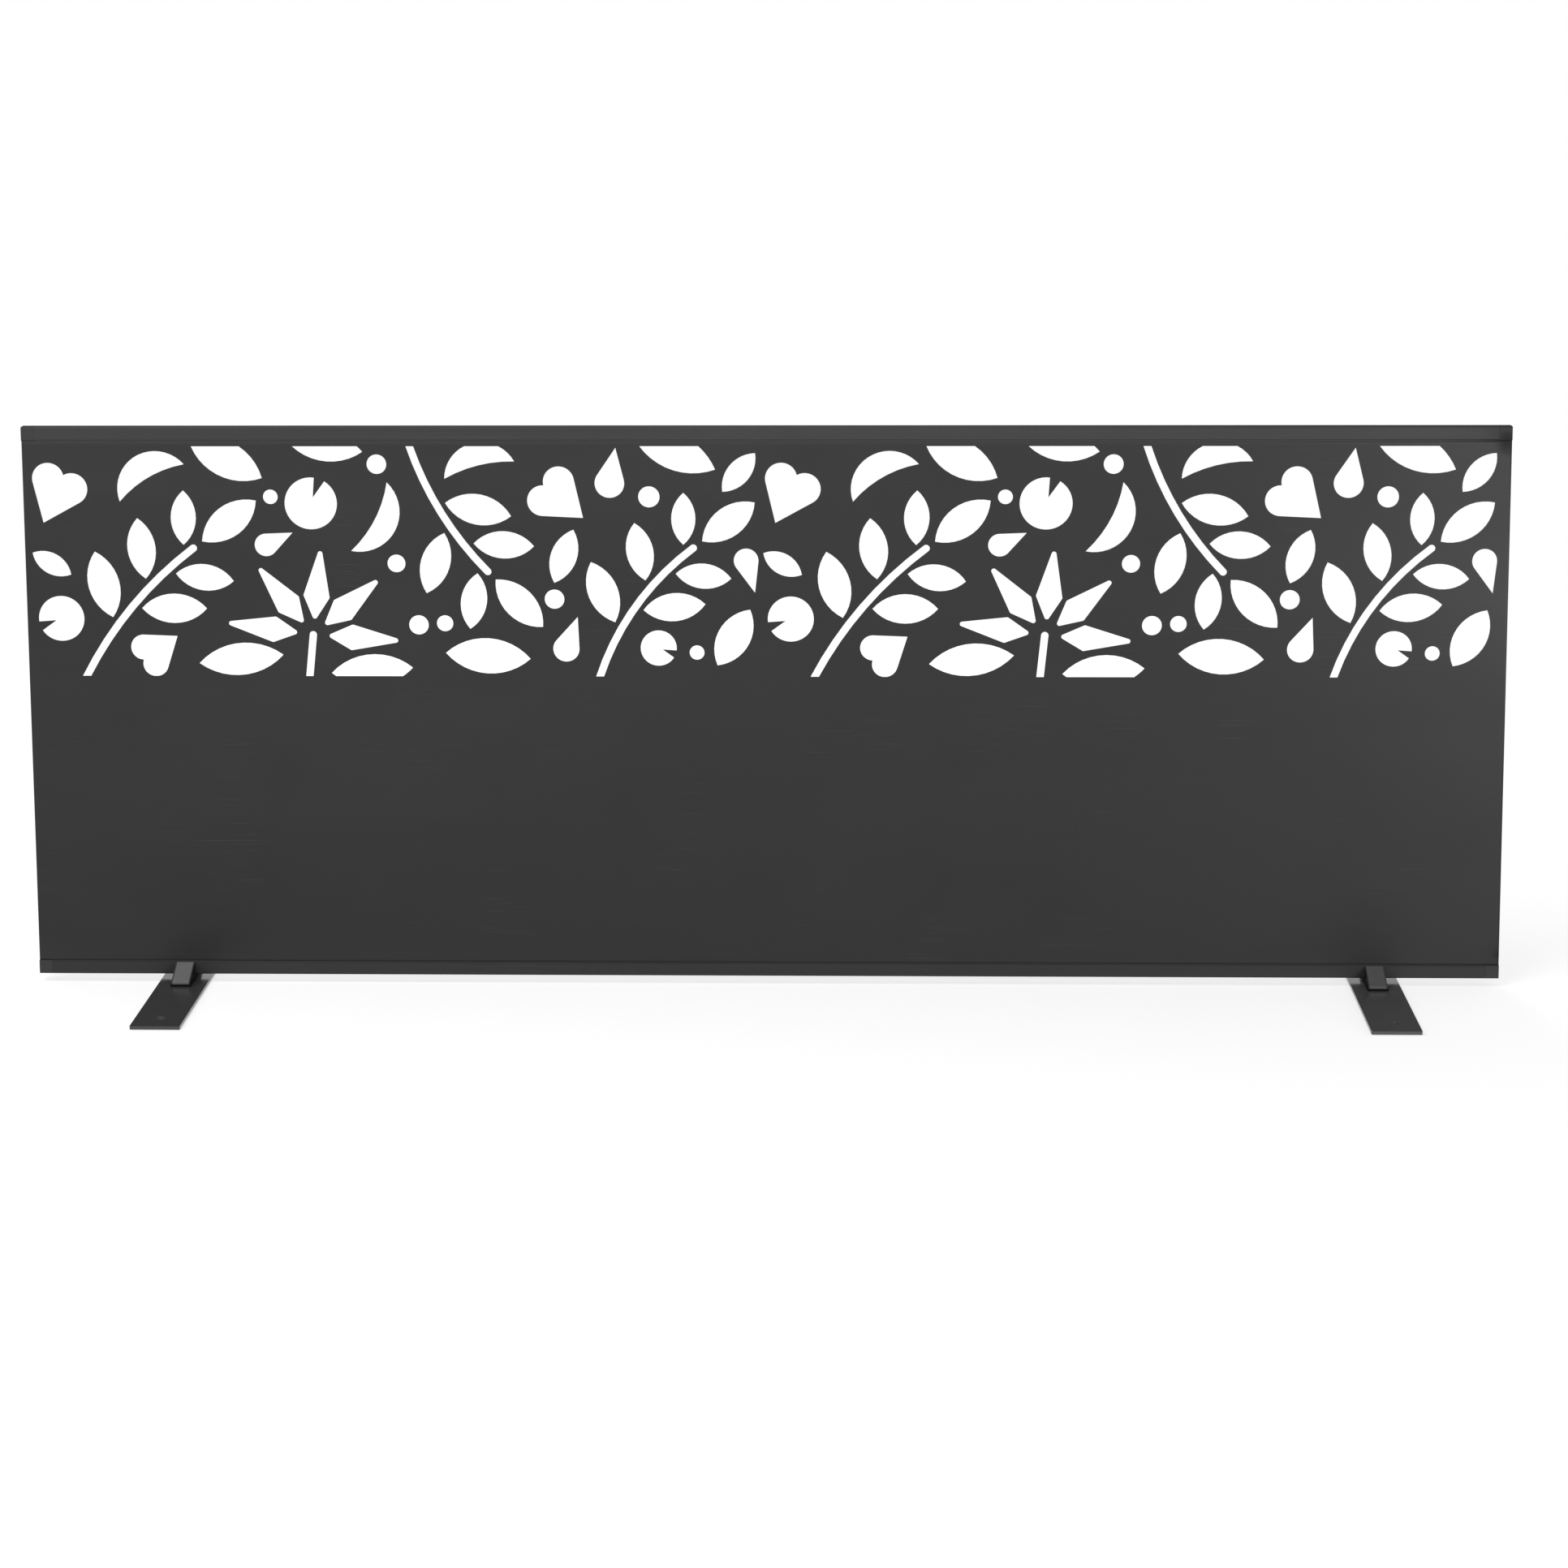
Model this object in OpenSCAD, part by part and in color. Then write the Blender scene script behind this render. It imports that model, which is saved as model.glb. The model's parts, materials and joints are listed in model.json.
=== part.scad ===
// Low free-standing screen panel: a laser-cut and folded sheet between two tube
// rails, standing on two flat foot plates whose clips grip the bottom rail.
// Origin: floor level, middle of the length and of the depth.
// X runs along the panel, Y to the rear and Z up. The front faces -Y.

/* [Panel] */
// Length of the panel
panel_l = 1800; // [1300:10:2400]
// Height of the panel from the underside of its bottom rail to its top
panel_h = 684; // [480:1:1000]
// Depth of the panel
panel_d = 16; // [14:0.5:24]
// Thickness of the cut and folded sheet
sheet_t = 1.5; // [1:0.1:2]
// Outer radius of the folds along the sheet's four edges
fold_r = 2.5; // [2.2:0.1:4]
// How far the folded edges stop short of the rails' rear faces
fold_setback = 1.5; // [0.5:0.1:4]
// Side of the square relief where two folded edges meet
fold_relief = 3; // [2.5:0.1:6]

/* [Rails] */
// Height of each rail
rail_h = 17; // [14:0.5:24]
// Wall of the rail tube
rail_wall = 1.5; // [1:0.1:2]
// Outer corner radius of the rail tube
rail_r = 1.5; // [0.5:0.1:2.5]
// Length of an end cap's head, which closes the end of a rail
cap_l = 16; // [6:0.5:24]
// Length of an end cap's plug inside the rail
cap_plug_l = 24; // [10:1:40]
// Wall of the hollow plug
cap_wall = 1.8; // [1.2:0.1:2.4]
// Gap between the plug's faces and the inside of the rail
cap_gap = 0.5; // [0.3:0.05:0.8]
// Width of the crush ribs on the plug
cap_rib_w = 1.2; // [0.8:0.1:2]
// Gap left between the crush ribs and the inside of the rail
cap_rib_gap = 0.05; // [0.02:0.01:0.2]

/* [Rivets] */
// Number of rivets along each rail
rivet_count = 7; // [3:1:12]
// Distance from the end of the panel to the first rivet
rivet_inset = 90; // [50:5:150]
// Diameter of a rivet's shank
rivet_d = 3.2; // [2.4:0.1:4]
// Diameter of a rivet's head
rivet_head_d = 6.4; // [5:0.1:8]
// Height of a rivet's head
rivet_head_h = 1.1; // [0.8:0.1:1.6]
// Length of a rivet's set tail inside the rail
rivet_tail_l = 3; // [2:0.5:5]
// Diameter of a rivet's set tail
rivet_tail_d = 4.8; // [4.2:0.1:6]
// Gap round a rivet's shank in its holes
rivet_gap = 0.05; // [0.02:0.01:0.1]

/* [Cut-out band] */
// Height of the band of leaf cut-outs
band_h = 284; // [200:1:300]
// Distance from the sheet's top edge to the band
band_top = 6.5; // [5:0.5:40]
// Distance from the sheet's left edge to the band
band_left = 6; // [5:0.5:40]
// Distance from the sheet's right edge to the band
band_right = 12; // [5:0.5:40]
// Length after which the cut-outs repeat
repeat_l = 891; // [891:1:930]
// Unit of length in which the rows of foliage are laid out
layout_unit = 1; // [0.97:0.01:1]
// Width of a stem slot
stem_w = 9; // [6:0.5:11]
// Metal left between a stem and its leaves
stem_web = 9; // [7:0.5:10]
// Angle between a stem and its leaves
leaf_angle = 50; // [44:1:56]
// Distance along a stem from one leaf to the next
leaf_pitch = 31; // [30:0.5:34]
// Width of a leaf as a share of its length
leaf_slim = 0.46; // [0.3:0.01:0.47]
// Share of its length that each leaf loses on the one before it
leaf_taper = 0.05; // [0:0.01:0.08]
// Angle between two leaves of a palm
palm_angle = 44; // [40:1:46]
// Distance from a palm's centre to its leaves
palm_reach = 20; // [19:0.5:24]
// Rounding of the corners of the straight-sided leaves
tip_r = 3; // [1:0.5:4]

/* [Feet] */
// Length of a foot plate, from front to rear
plate_l = 400; // [240:10:500]
// Width of a foot plate
plate_w = 60; // [50:1:90]
// Thickness of a foot plate
plate_t = 4; // [4:0.5:8]
// Corner radius of a foot plate
plate_r = 2; // [1:0.5:10]
// Distance from the panel's left end to the left foot's centre
left_foot_inset = 182; // [30:1:500]
// Distance from the panel's right end to the right foot's centre
right_foot_inset = 152; // [30:1:500]
// Distance from a plate's end to the centre of its fixing hole
fixing_inset = 32; // [15:1:60]
// Diameter of a fixing hole
fixing_d = 6.6; // [5.5:0.1:7.5]
// Diameter of the countersink of a fixing hole
fixing_sink_d = 12.6; // [9:0.1:12.6]

/* [Clips] */
// Width of a clip, cut from an extruded profile
clip_w = 20; // [14:1:36]
// Length of a clip's base along its plate
clip_l = 84; // [70:1:120]
// Thickness of the base, which the rail stands on
clip_base_t = 3; // [3:0.5:6]
// Thickness of the legs
clip_leg_t = 2.5; // [2:0.1:4]
// Slope of the legs above the base
clip_slope = 25; // [20:1:34]
// Radius inside the fold between base and leg
clip_root_r = 1.2; // [0.8:0.1:2]
// Radius of the clip's outer corners
clip_edge_r = 0.6; // [0.3:0.1:1]
// Clearance between the clip and the rail
clip_clear = 0.3; // [0.2:0.05:0.6]
// Thickness of the covers that close a clip's two cut sides
cover_t = 1.5; // [1:0.1:2.5]
// Length of a cover's plugs inside the clip
cover_plug_l = 4; // [2:0.5:6]
// Gap between a cover's plugs and the clip
cover_gap = 0.1; // [0.05:0.05:0.3]
// Thickness of the gasket between clip and plate
gasket_t = 2.5; // [1:0.1:4]
// How far the gasket shows round the clip
gasket_margin = 1; // [0:0.5:3]
// Distance between the clip's two screws
screw_pitch = 40; // [34:1:50]
// Thread diameter of a clip screw
screw_d = 5; // [4:0.5:6]
// Head diameter of a clip screw
screw_head_d = 9.6; // [8:0.2:11]
// Width across the flats of a clip screw's socket
screw_socket = 3; // [2:0.5:4]
// Depth of a clip screw's socket
screw_socket_depth = 2; // [1:0.1:2.4]
// How far a clip screw's tip stays below the top of the clip's base
screw_tip_drop = 0.4; // [0.2:0.1:1]
// Gap between a clip screw and its holes
screw_gap = 0.05; // [0.02:0.01:0.1]

/* [Floor pads] */
// Diameter of a floor pad
pad_d = 18; // [12:1:22]
// Thickness of a floor pad
pad_t = 1; // [0.5:0.5:4]
// Distance from a plate's end to a pad's centre
pad_end_inset = 14; // [12:1:60]
// Distance from a plate's side to a pad's centre
pad_side_inset = 13; // [12:1:14]

/* [Hidden] */
$fn = 64;

// Cutters run this much past the faces that they cut
past = 1;
// Straight sides of leaves end this much inside the round ends that they meet
leaf_tuck = 0.01;

// Heights above the floor
plate_z0 = pad_t;
plate_z1 = plate_z0 + plate_t;
clip_z0 = plate_z1 + gasket_t;
clip_z1 = clip_z0 + clip_base_t;
panel_z0 = clip_z1 + clip_clear;
panel_z1 = panel_z0 + panel_h;
sheet_z0 = panel_z0 + rail_h;
sheet_z1 = panel_z1 - rail_h;
sheet_h = sheet_z1 - sheet_z0;

// Places along and across the panel
end_x = panel_l / 2;
front_y = -panel_d / 2;
left_foot_x = -end_x + left_foot_inset;
right_foot_x = end_x - right_foot_inset;
rail_l = panel_l - 2 * cap_l;
bore_w = panel_d - 2 * rail_wall;
bore_h = rail_h - 2 * rail_wall;
rivet_step = (panel_l - 2 * rivet_inset) / (rivet_count - 1);
band_l = panel_l - band_left - band_right;

// Foliage of one repeat. Each row starts with its place along the repeat, its
// height in the band and its heading. Places and lengths are in layout units.
// Sprays: stem length, bend radius of the stem, leaves, leaf length
sprays = [
    [58, -14, 64, 226, -480, 5, 84],
    [462, 298, -74, 196, 400, 4, 82],
    [690, -14, 74, 214, -330, 5, 80]
];
// Palm leaves: stem length, leaves, leaf length, leaf width
palms = [
    [338, -10, 84, 62, 5, 84, 32]
];
// Hearts: length
hearts = [
    [18, 190, 66, 72],
    [178, 50, 215, 58],
    [676, 196, 140, 70]
];
// Lone leaves: length, width
lone_leaves = [
    [50, 126, 150, 54, 26],
    [198, 292, -28, 100, 44],
    [204, 16, 6, 104, 40],
    [318, 290, -8, 92, 36],
    [366, 4, 4, 100, 40],
    [610, 22, 176, 104, 44],
    [640, 116, 70, 70, 32],
    [736, 300, -24, 110, 44],
    [838, 14, 60, 80, 40],
    [845, 228, 50, 62, 28]
];
// Sickle leaves: length, bulge of the outer arc, bulge of the inner arc
sickles = [
    [112, 216, 30, 92, 38, 8],
    [438, 240, 242, 96, 36, 8],
    [508, 244, 14, 88, 34, 6]
];
// Round leaves with a notch at the stalk: radius
pads = [
    [356, 244, 250, 32],
    [10, 62, 20, 28],
    [787, 28, 160, 22]
];
// Drops: length, radius
drops = [
    [322, 178, 205, 50, 14],
    [668, 74, 250, 58, 16],
    [716, 282, 260, 62, 18],
    [884, 104, 105, 56, 15]
];
// Berries: radius
berries = [
    [296, 222, 9],
    [426, 262, 12],
    [448, 140, 11],
    [474, 64, 12],
    [506, 66, 10],
    [640, 96, 12],
    [756, 222, 13],
    [813, 30, 9]
];

// Places what follows with its own X axis along the heading
module at(u, v, heading) {
    translate([u, v]) rotate(heading) children();
}

// Places what follows as the first three numbers of a layout row say
module lay(row) {
    at(layout_unit * row[0], layout_unit * row[1], row[2]) children();
}

// Outline with rounded corners, from the centres of its corner circles,
// which run anticlockwise round a convex shape. Its straight sides may lie a
// hair inside the circles, by tuck.
module round_poly(centres, r, tuck = 0) {
    n = len(centres);
    polygon([
        for (i = [0:n - 1])
            for (k = [-1, 0])
                let (
                    a = centres[(i + k + n) % n],
                    b = centres[(i + k + 1) % n],
                    side = (b - a) / norm(b - a)
                )
                centres[i] + (r - tuck) * [side[1], -side[0]]
    ]);
    for (c = centres)
        translate(c) circle(r);
}

// Rectangle with rounded corners, centred
module round_rect(w, h, r) {
    x = w / 2 - r;
    y = h / 2 - r;
    round_poly([[-x, -y], [x, -y], [x, y], [-x, y]], r);
}

// Rectangle whose two corners at y = 0 are rounded; it runs to y = d
module front_round(w, d, r) {
    translate([-w / 2, r]) square([w, d - r]);
    translate([-w / 2 + r, 0]) square([w - 2 * r, d]);
    for (side = [-1, 1])
        translate([side * (w / 2 - r), r]) circle(r);
}

// Extrudes a drawing of the YZ plane along X, centred
module along_x(l) {
    rotate([90, 0, 90])
        linear_extrude(height = l, center = true) children();
}

// Leaf between two arcs, pointed at both ends
module leaf(l, w) {
    r = (l * l + w * w) / (4 * w);
    intersection() {
        translate([l / 2, w / 2 - r]) circle(r);
        translate([l / 2, r - w / 2]) circle(r);
    }
}

// Leaf with four straight sides, widest at a third of its length
module kite_leaf(l, w) {
    k = l / 3;
    y = w / 2 - tip_r;
    round_poly([[tip_r, 0], [k, -y], [l - tip_r, 0], [k, y]], tip_r, leaf_tuck);
}

// Leaf whose two sides bulge the same way, outwards by a and b
module sickle_leaf(l, a, b) {
    ra = (l * l / 4 + a * a) / (2 * a);
    rb = (l * l / 4 + b * b) / (2 * b);
    difference() {
        translate([l / 2, a - ra]) circle(ra);
        translate([l / 2, b - rb]) circle(rb);
    }
}

// Round leaf with a notch, its stalk end at the start
module pad_leaf(r) {
    notch_l = 0.75 * r;
    notch_y = 0.5 * r;
    difference() {
        translate([r, 0]) circle(r);
        polygon([[notch_l, 0], [-r, notch_y], [-r, -notch_y]]);
    }
}

// Straight slot with round ends
module straight_slot(l) {
    round_poly([[0, 0], [l, 0]], stem_w / 2);
}

// Point a hair inside a circle with centre c and radius r, beside the place
// where a line from the start touches it on its left
function touch_point(c, r) =
    let (a = atan2(c[1], c[0]) + asin(r / norm(c)))
    c + (r - leaf_tuck) * [-sin(a), cos(a)];

// Drop with its point at the start
module drop_leaf(l, r) {
    c = [l - r, 0];
    side = touch_point(c, r);
    polygon([[0, 0], [side[0], -side[1]], c, side]);
    translate(c) circle(r);
}

// Heart with its point at the start
module heart_leaf(l) {
    lobe_r = 0.27 * l;
    lobe_y = 0.8 * lobe_r;
    c = [l - lobe_r, lobe_y];
    side = touch_point(c, lobe_r);
    polygon([[0, 0], [side[0], -side[1]], [c[0], -lobe_y], c, side]);
    for (k = [-1, 1])
        translate([c[0], k * lobe_y]) circle(lobe_r);
}

// Place and heading at a distance along a stem that bends with a radius,
// to the left where the radius is positive
function stem_turn(s, bend) = s / bend * 180 / PI;
function stem_point(s, bend) = bend * [sin(stem_turn(s, bend)), 1 - cos(stem_turn(s, bend))];

// Curved slot with round ends
module stem_slot(l, bend) {
    r = abs(bend);
    turn = stem_turn(l, r);
    mirror([0, bend < 0 ? 1 : 0]) {
        translate([0, r]) intersection() {
            difference() {
                circle(r + stem_w / 2, $fn = 180);
                circle(r - stem_w / 2, $fn = 180);
            }
            polygon([
                [0, 0],
                2 * r * [0, -1],
                2 * r * [sin(turn / 2), -cos(turn / 2)],
                2 * r * [sin(turn), -cos(turn)]
            ]);
        }
        for (s = [0, l])
            translate(stem_point(s, r)) circle(stem_w / 2 + leaf_tuck);
    }
}

// Curved stem with leaves on alternate sides, smaller towards its tip
module spray(l, bend, leaves, leaf_l) {
    reach = stem_w / 2 + stem_web;
    stem_slot(l, bend);
    for (i = [0:leaves - 1]) {
        s = l - (leaves - i) * leaf_pitch + leaf_pitch / 2;
        side = i % 2 == 0 ? 1 : -1;
        size = leaf_l * (1 - leaf_taper * i);
        p = stem_point(s, bend);
        at(p[0], p[1], stem_turn(s, bend) + side * leaf_angle)
            translate([reach, 0]) leaf(size, size * leaf_slim);
    }
    tip = stem_point(l, bend);
    at(tip[0], tip[1], stem_turn(l, bend))
        translate([reach, 0]) leaf(leaf_l, leaf_l * leaf_slim);
}

// Straight-sided leaves fanned out round the end of a short stem
module palm(stem_l, leaves, leaf_l, leaf_w) {
    straight_slot(stem_l);
    for (i = [0:leaves - 1])
        at(stem_l, 0, palm_angle * (i - (leaves - 1) / 2))
            translate([palm_reach, 0]) kite_leaf(leaf_l, leaf_w);
}

// One repeat of the foliage, from u = 0 to u = repeat_l
module foliage() {
    unit = layout_unit;
    for (s = sprays)
        lay(s) spray(unit * s[3], unit * s[4], s[5], unit * s[6]);
    for (p = palms)
        lay(p) palm(unit * p[3], p[4], unit * p[5], unit * p[6]);
    for (h = hearts)
        lay(h) heart_leaf(unit * h[3]);
    for (m = lone_leaves)
        lay(m) leaf(unit * m[3], unit * m[4]);
    for (c = sickles)
        lay(c) sickle_leaf(unit * c[3], unit * c[4], unit * c[5]);
    for (q = pads)
        lay(q) pad_leaf(unit * q[3]);
    for (d = drops)
        lay(d) drop_leaf(unit * d[3], unit * d[4]);
    for (b = berries)
        translate(unit * [b[0], b[1]]) circle(unit * b[2]);
}

// Cut-outs of the whole band, clipped straight at its four sides
module band_cutouts() {
    intersection() {
        square([band_l, band_h]);
        for (k = [-1:ceil(band_l / repeat_l) - 1])
            translate([k * repeat_l, 0]) foliage();
    }
}

// Shallow tray whose four edges fold back, shell offset inwards by inset
module tray_form(inset, depth) {
    r = fold_r - inset;
    translate([0, front_y + inset, 0])
        intersection() {
            translate([0, 0, sheet_z0 + inset])
                linear_extrude(height = sheet_h - 2 * inset)
                    front_round(panel_l - 2 * inset, depth, r);
            translate([0, 0, (sheet_z0 + sheet_z1) / 2])
                rotate([0, -90, 0])
                    linear_extrude(height = panel_l - 2 * inset, center = true)
                        front_round(sheet_h - 2 * inset, depth, r);
        }
}

// Places what follows at each rivet along a rail
module at_rivets() {
    for (i = [0:rivet_count - 1])
        translate([-end_x + rivet_inset + i * rivet_step, 0, 0]) children();
}

module perforated_sheet() {
    depth = panel_d - fold_setback;
    color("#3f4042") difference() {
        tray_form(0, depth);
        tray_form(sheet_t, depth);
        translate([-end_x + band_left, front_y - past, sheet_z1 - band_top - band_h])
            rotate([90, 0, 0]) mirror([0, 0, 1])
                linear_extrude(height = sheet_t + 2 * past) band_cutouts();
        for (x = [-end_x, end_x], z = [sheet_z0, sheet_z1])
            translate([x - fold_relief, front_y + fold_r, z - fold_relief])
                cube([2 * fold_relief, panel_d, 2 * fold_relief]);
        at_rivets()
            translate([0, 0, sheet_z0 - past])
                cylinder(d = rivet_d + 2 * rivet_gap, h = sheet_h + 2 * past);
    }
}

// Tube with its ends open, its underside at z = 0
module rail_tube() {
    along_x(rail_l) translate([0, rail_h / 2]) difference() {
        round_rect(panel_d, rail_h, rail_r);
        square([bore_w, bore_h], center = true);
    }
}

// Rail tube at height z, with its rivet holes through the wall at height wall_z
module rail(z, wall_z) {
    color("#454648") difference() {
        translate([0, 0, z]) rail_tube();
        at_rivets()
            translate([0, 0, wall_z - past])
                cylinder(d = rivet_d + 2 * rivet_gap, h = rail_wall + 2 * past);
    }
}

module top_rail() {
    rail(sheet_z1, sheet_z1);
}

module bottom_rail() {
    rail(panel_z0, sheet_z0 - rail_wall);
}

// End cap of a rail's right end: a head that carries on the rail's outline and
// a hollow plug. The plug's inner webs, two each way, stand proud of its faces
// as crush ribs.
module end_cap(z) {
    plug_w = bore_w - 2 * cap_gap;
    plug_h = bore_h - 2 * cap_gap;
    rib = cap_gap - cap_rib_gap;
    color("#2c2c2e") translate([end_x - cap_l, 0, z + rail_h / 2]) {
        translate([cap_l / 2, 0, 0]) along_x(cap_l) round_rect(panel_d, rail_h, rail_r);
        translate([-cap_plug_l / 2, 0, 0]) along_x(cap_plug_l) {
            difference() {
                square([plug_w, plug_h], center = true);
                square([plug_w - 2 * cap_wall, plug_h - 2 * cap_wall], center = true);
            }
            for (k = [-1, 1]) {
                translate([k * plug_w / 4, 0])
                    square([cap_rib_w, plug_h + 2 * rib], center = true);
                translate([0, k * plug_h / 4])
                    square([plug_w + 2 * rib, cap_rib_w], center = true);
            }
        }
    }
}

module top_right_end_cap() {
    end_cap(sheet_z1);
}

module top_left_end_cap() {
    mirror([1, 0, 0]) end_cap(sheet_z1);
}

module bottom_right_end_cap() {
    end_cap(panel_z0);
}

module bottom_left_end_cap() {
    mirror([1, 0, 0]) end_cap(panel_z0);
}

// Set blind rivet. Its head sits on z = 0 and its tail swells past the joint
module rivet() {
    grip = sheet_t + rail_wall;
    dome_r = (rivet_head_d * rivet_head_d / 4 + rivet_head_h * rivet_head_h)
        / (2 * rivet_head_h);
    intersection() {
        translate([0, 0, dome_r - rivet_head_h]) sphere(dome_r);
        translate([0, 0, -rivet_head_h]) cylinder(d = rivet_head_d, h = rivet_head_h);
    }
    cylinder(d = rivet_d, h = grip);
    translate([0, 0, grip]) cylinder(d = rivet_tail_d, h = rivet_tail_l);
}

module top_rail_rivets() {
    color("#3a3b3d") at_rivets()
        translate([0, 0, sheet_z1 - sheet_t]) rivet();
}

module bottom_rail_rivets() {
    color("#3a3b3d") at_rivets()
        translate([0, 0, sheet_z0 + sheet_t]) mirror([0, 0, 1]) rivet();
}

// Places what follows at both of a foot's clip screws
module at_screws() {
    for (y = [-1, 1] * screw_pitch / 2)
        translate([0, y, 0]) children();
}

// Countersunk screw from the plate's underside up, larger all round by gap
module screw_form(gap) {
    head_r = screw_head_d / 2 + gap;
    shank_r = screw_d / 2 + gap;
    head_h = head_r - shank_r;
    translate([0, 0, plate_z0]) {
        cylinder(r1 = head_r, r2 = shank_r, h = head_h);
        cylinder(r = shank_r, h = plate_t + gasket_t + clip_base_t);
    }
}

module base_plate(x) {
    sink_h = (fixing_sink_d - fixing_d) / 2;
    color("#39393b") translate([x, 0, 0]) difference() {
        translate([0, 0, plate_z0])
            linear_extrude(height = plate_t) round_rect(plate_w, plate_l, plate_r);
        for (y = [-1, 1] * (plate_l / 2 - fixing_inset))
            translate([0, y, plate_z1]) {
                translate([0, 0, -plate_t - past])
                    cylinder(d = fixing_d, h = plate_t + 2 * past);
                translate([0, 0, -sink_h])
                    cylinder(d1 = fixing_d, d2 = fixing_sink_d, h = sink_h);
            }
        at_screws() screw_form(screw_gap);
    }
}

module left_base_plate() {
    base_plate(left_foot_x);
}

module right_base_plate() {
    base_plate(right_foot_x);
}

// Rubber gasket that beds the clip on its plate
module clip_gasket(x) {
    color("#1c1c1d") translate([x, 0, 0]) difference() {
        translate([0, 0, plate_z1])
            linear_extrude(height = gasket_t)
                square([
                    clip_w + 2 * (cover_t + gasket_margin),
                    clip_l + 2 * gasket_margin
                ], center = true);
        at_screws() screw_form(screw_gap);
    }
}

module left_clip_gasket() {
    clip_gasket(left_foot_x);
}

module right_clip_gasket() {
    clip_gasket(right_foot_x);
}

// Slot between a clip's legs, which the rail stands in
module clip_slot() {
    slot_y = panel_d / 2 + clip_clear;
    translate([-slot_y, clip_base_t]) square([2 * slot_y, clip_l]);
}

// Clip's outline across the rail, with the slot: a flat base whose two ends
// slope up to just short of the rail's faces. The base stands on z = 0.
module clip_outline() {
    e = clip_edge_r;
    base_y = clip_l / 2;
    rise = base_y * tan(clip_slope);
    shoulder_z = clip_base_t - e * tan(clip_slope / 2);
    difference() {
        round_poly([
            [-base_y + e, e],
            [base_y - e, e],
            [base_y - e, shoulder_z],
            [0, clip_base_t + rise - e / cos(clip_slope)],
            [-base_y + e, shoulder_z]
        ], e);
        clip_slot();
    }
}

// Hollows below the clip's two legs, made smaller all round by gap
module clip_hollows(gap) {
    low_z = clip_base_t + clip_root_r;
    drop = (clip_leg_t + clip_root_r) / cos(clip_slope);
    reach_y = clip_l / 2 - (clip_root_r + drop) / tan(clip_slope);
    peak_z = clip_base_t + clip_l / 2 * tan(clip_slope) - drop;
    for (k = [0, 1])
        mirror([k, 0])
            round_poly([[0, low_z], [reach_y, low_z], [0, peak_z]], clip_root_r - gap);
}

module grip_clip(x) {
    color("#8d8e90") translate([x, 0, 0]) difference() {
        translate([0, 0, clip_z0]) along_x(clip_w) difference() {
            clip_outline();
            clip_hollows(0);
        }
        at_screws() screw_form(screw_gap);
    }
}

module left_grip_clip() {
    grip_clip(left_foot_x);
}

module right_grip_clip() {
    grip_clip(right_foot_x);
}

// Covers of a clip's two cut sides, each with a plug in both hollows
module clip_covers(x) {
    plug_x = (clip_w - cover_plug_l) / 2;
    color("#202021")
        for (side = [-1, 1])
            translate([x, 0, clip_z0]) {
                translate([side * (clip_w + cover_t) / 2, 0, 0]) along_x(cover_t) clip_outline();
                translate([side * plug_x, 0, 0]) along_x(cover_plug_l) difference() {
                    clip_hollows(cover_gap);
                    clip_slot();
                }
            }
}

module left_clip_covers() {
    clip_covers(left_foot_x);
}

module right_clip_covers() {
    clip_covers(right_foot_x);
}

// Screws stop a little below the top of the clip's base
module clip_screws(x) {
    color("#a5a6a8") translate([x, 0, 0]) at_screws()
        difference() {
            screw_form(0);
            translate([0, 0, clip_z1 - screw_tip_drop])
                cylinder(d = 2 * screw_d, h = screw_tip_drop + past);
            translate([0, 0, plate_z0 - past])
                cylinder(d = screw_socket / cos(30), h = screw_socket_depth + past, $fn = 6);
        }
}

module left_clip_screws() {
    clip_screws(left_foot_x);
}

module right_clip_screws() {
    clip_screws(right_foot_x);
}

module floor_pads(x) {
    color("#1c1c1d")
        for (px = [-1, 1] * (plate_w / 2 - pad_side_inset), py = [-1, 1] * (plate_l / 2 - pad_end_inset))
            translate([x + px, py, 0]) cylinder(d = pad_d, h = pad_t);
}

module left_floor_pads() {
    floor_pads(left_foot_x);
}

module right_floor_pads() {
    floor_pads(right_foot_x);
}

perforated_sheet();
top_rail();
bottom_rail();
top_left_end_cap();
top_right_end_cap();
bottom_left_end_cap();
bottom_right_end_cap();
top_rail_rivets();
bottom_rail_rivets();
left_base_plate();
left_clip_gasket();
left_grip_clip();
left_clip_covers();
left_clip_screws();
left_floor_pads();
right_base_plate();
right_clip_gasket();
right_grip_clip();
right_clip_covers();
right_clip_screws();
right_floor_pads();
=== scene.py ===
"""Looks of the screen panel: finishes, worn edges, floor, light and camera.

Metres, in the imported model's own frame: +X along the panel, +Y to its rear, +Z up.
"""

import json
import math

import bpy
from mathutils import Matrix, Vector

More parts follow.
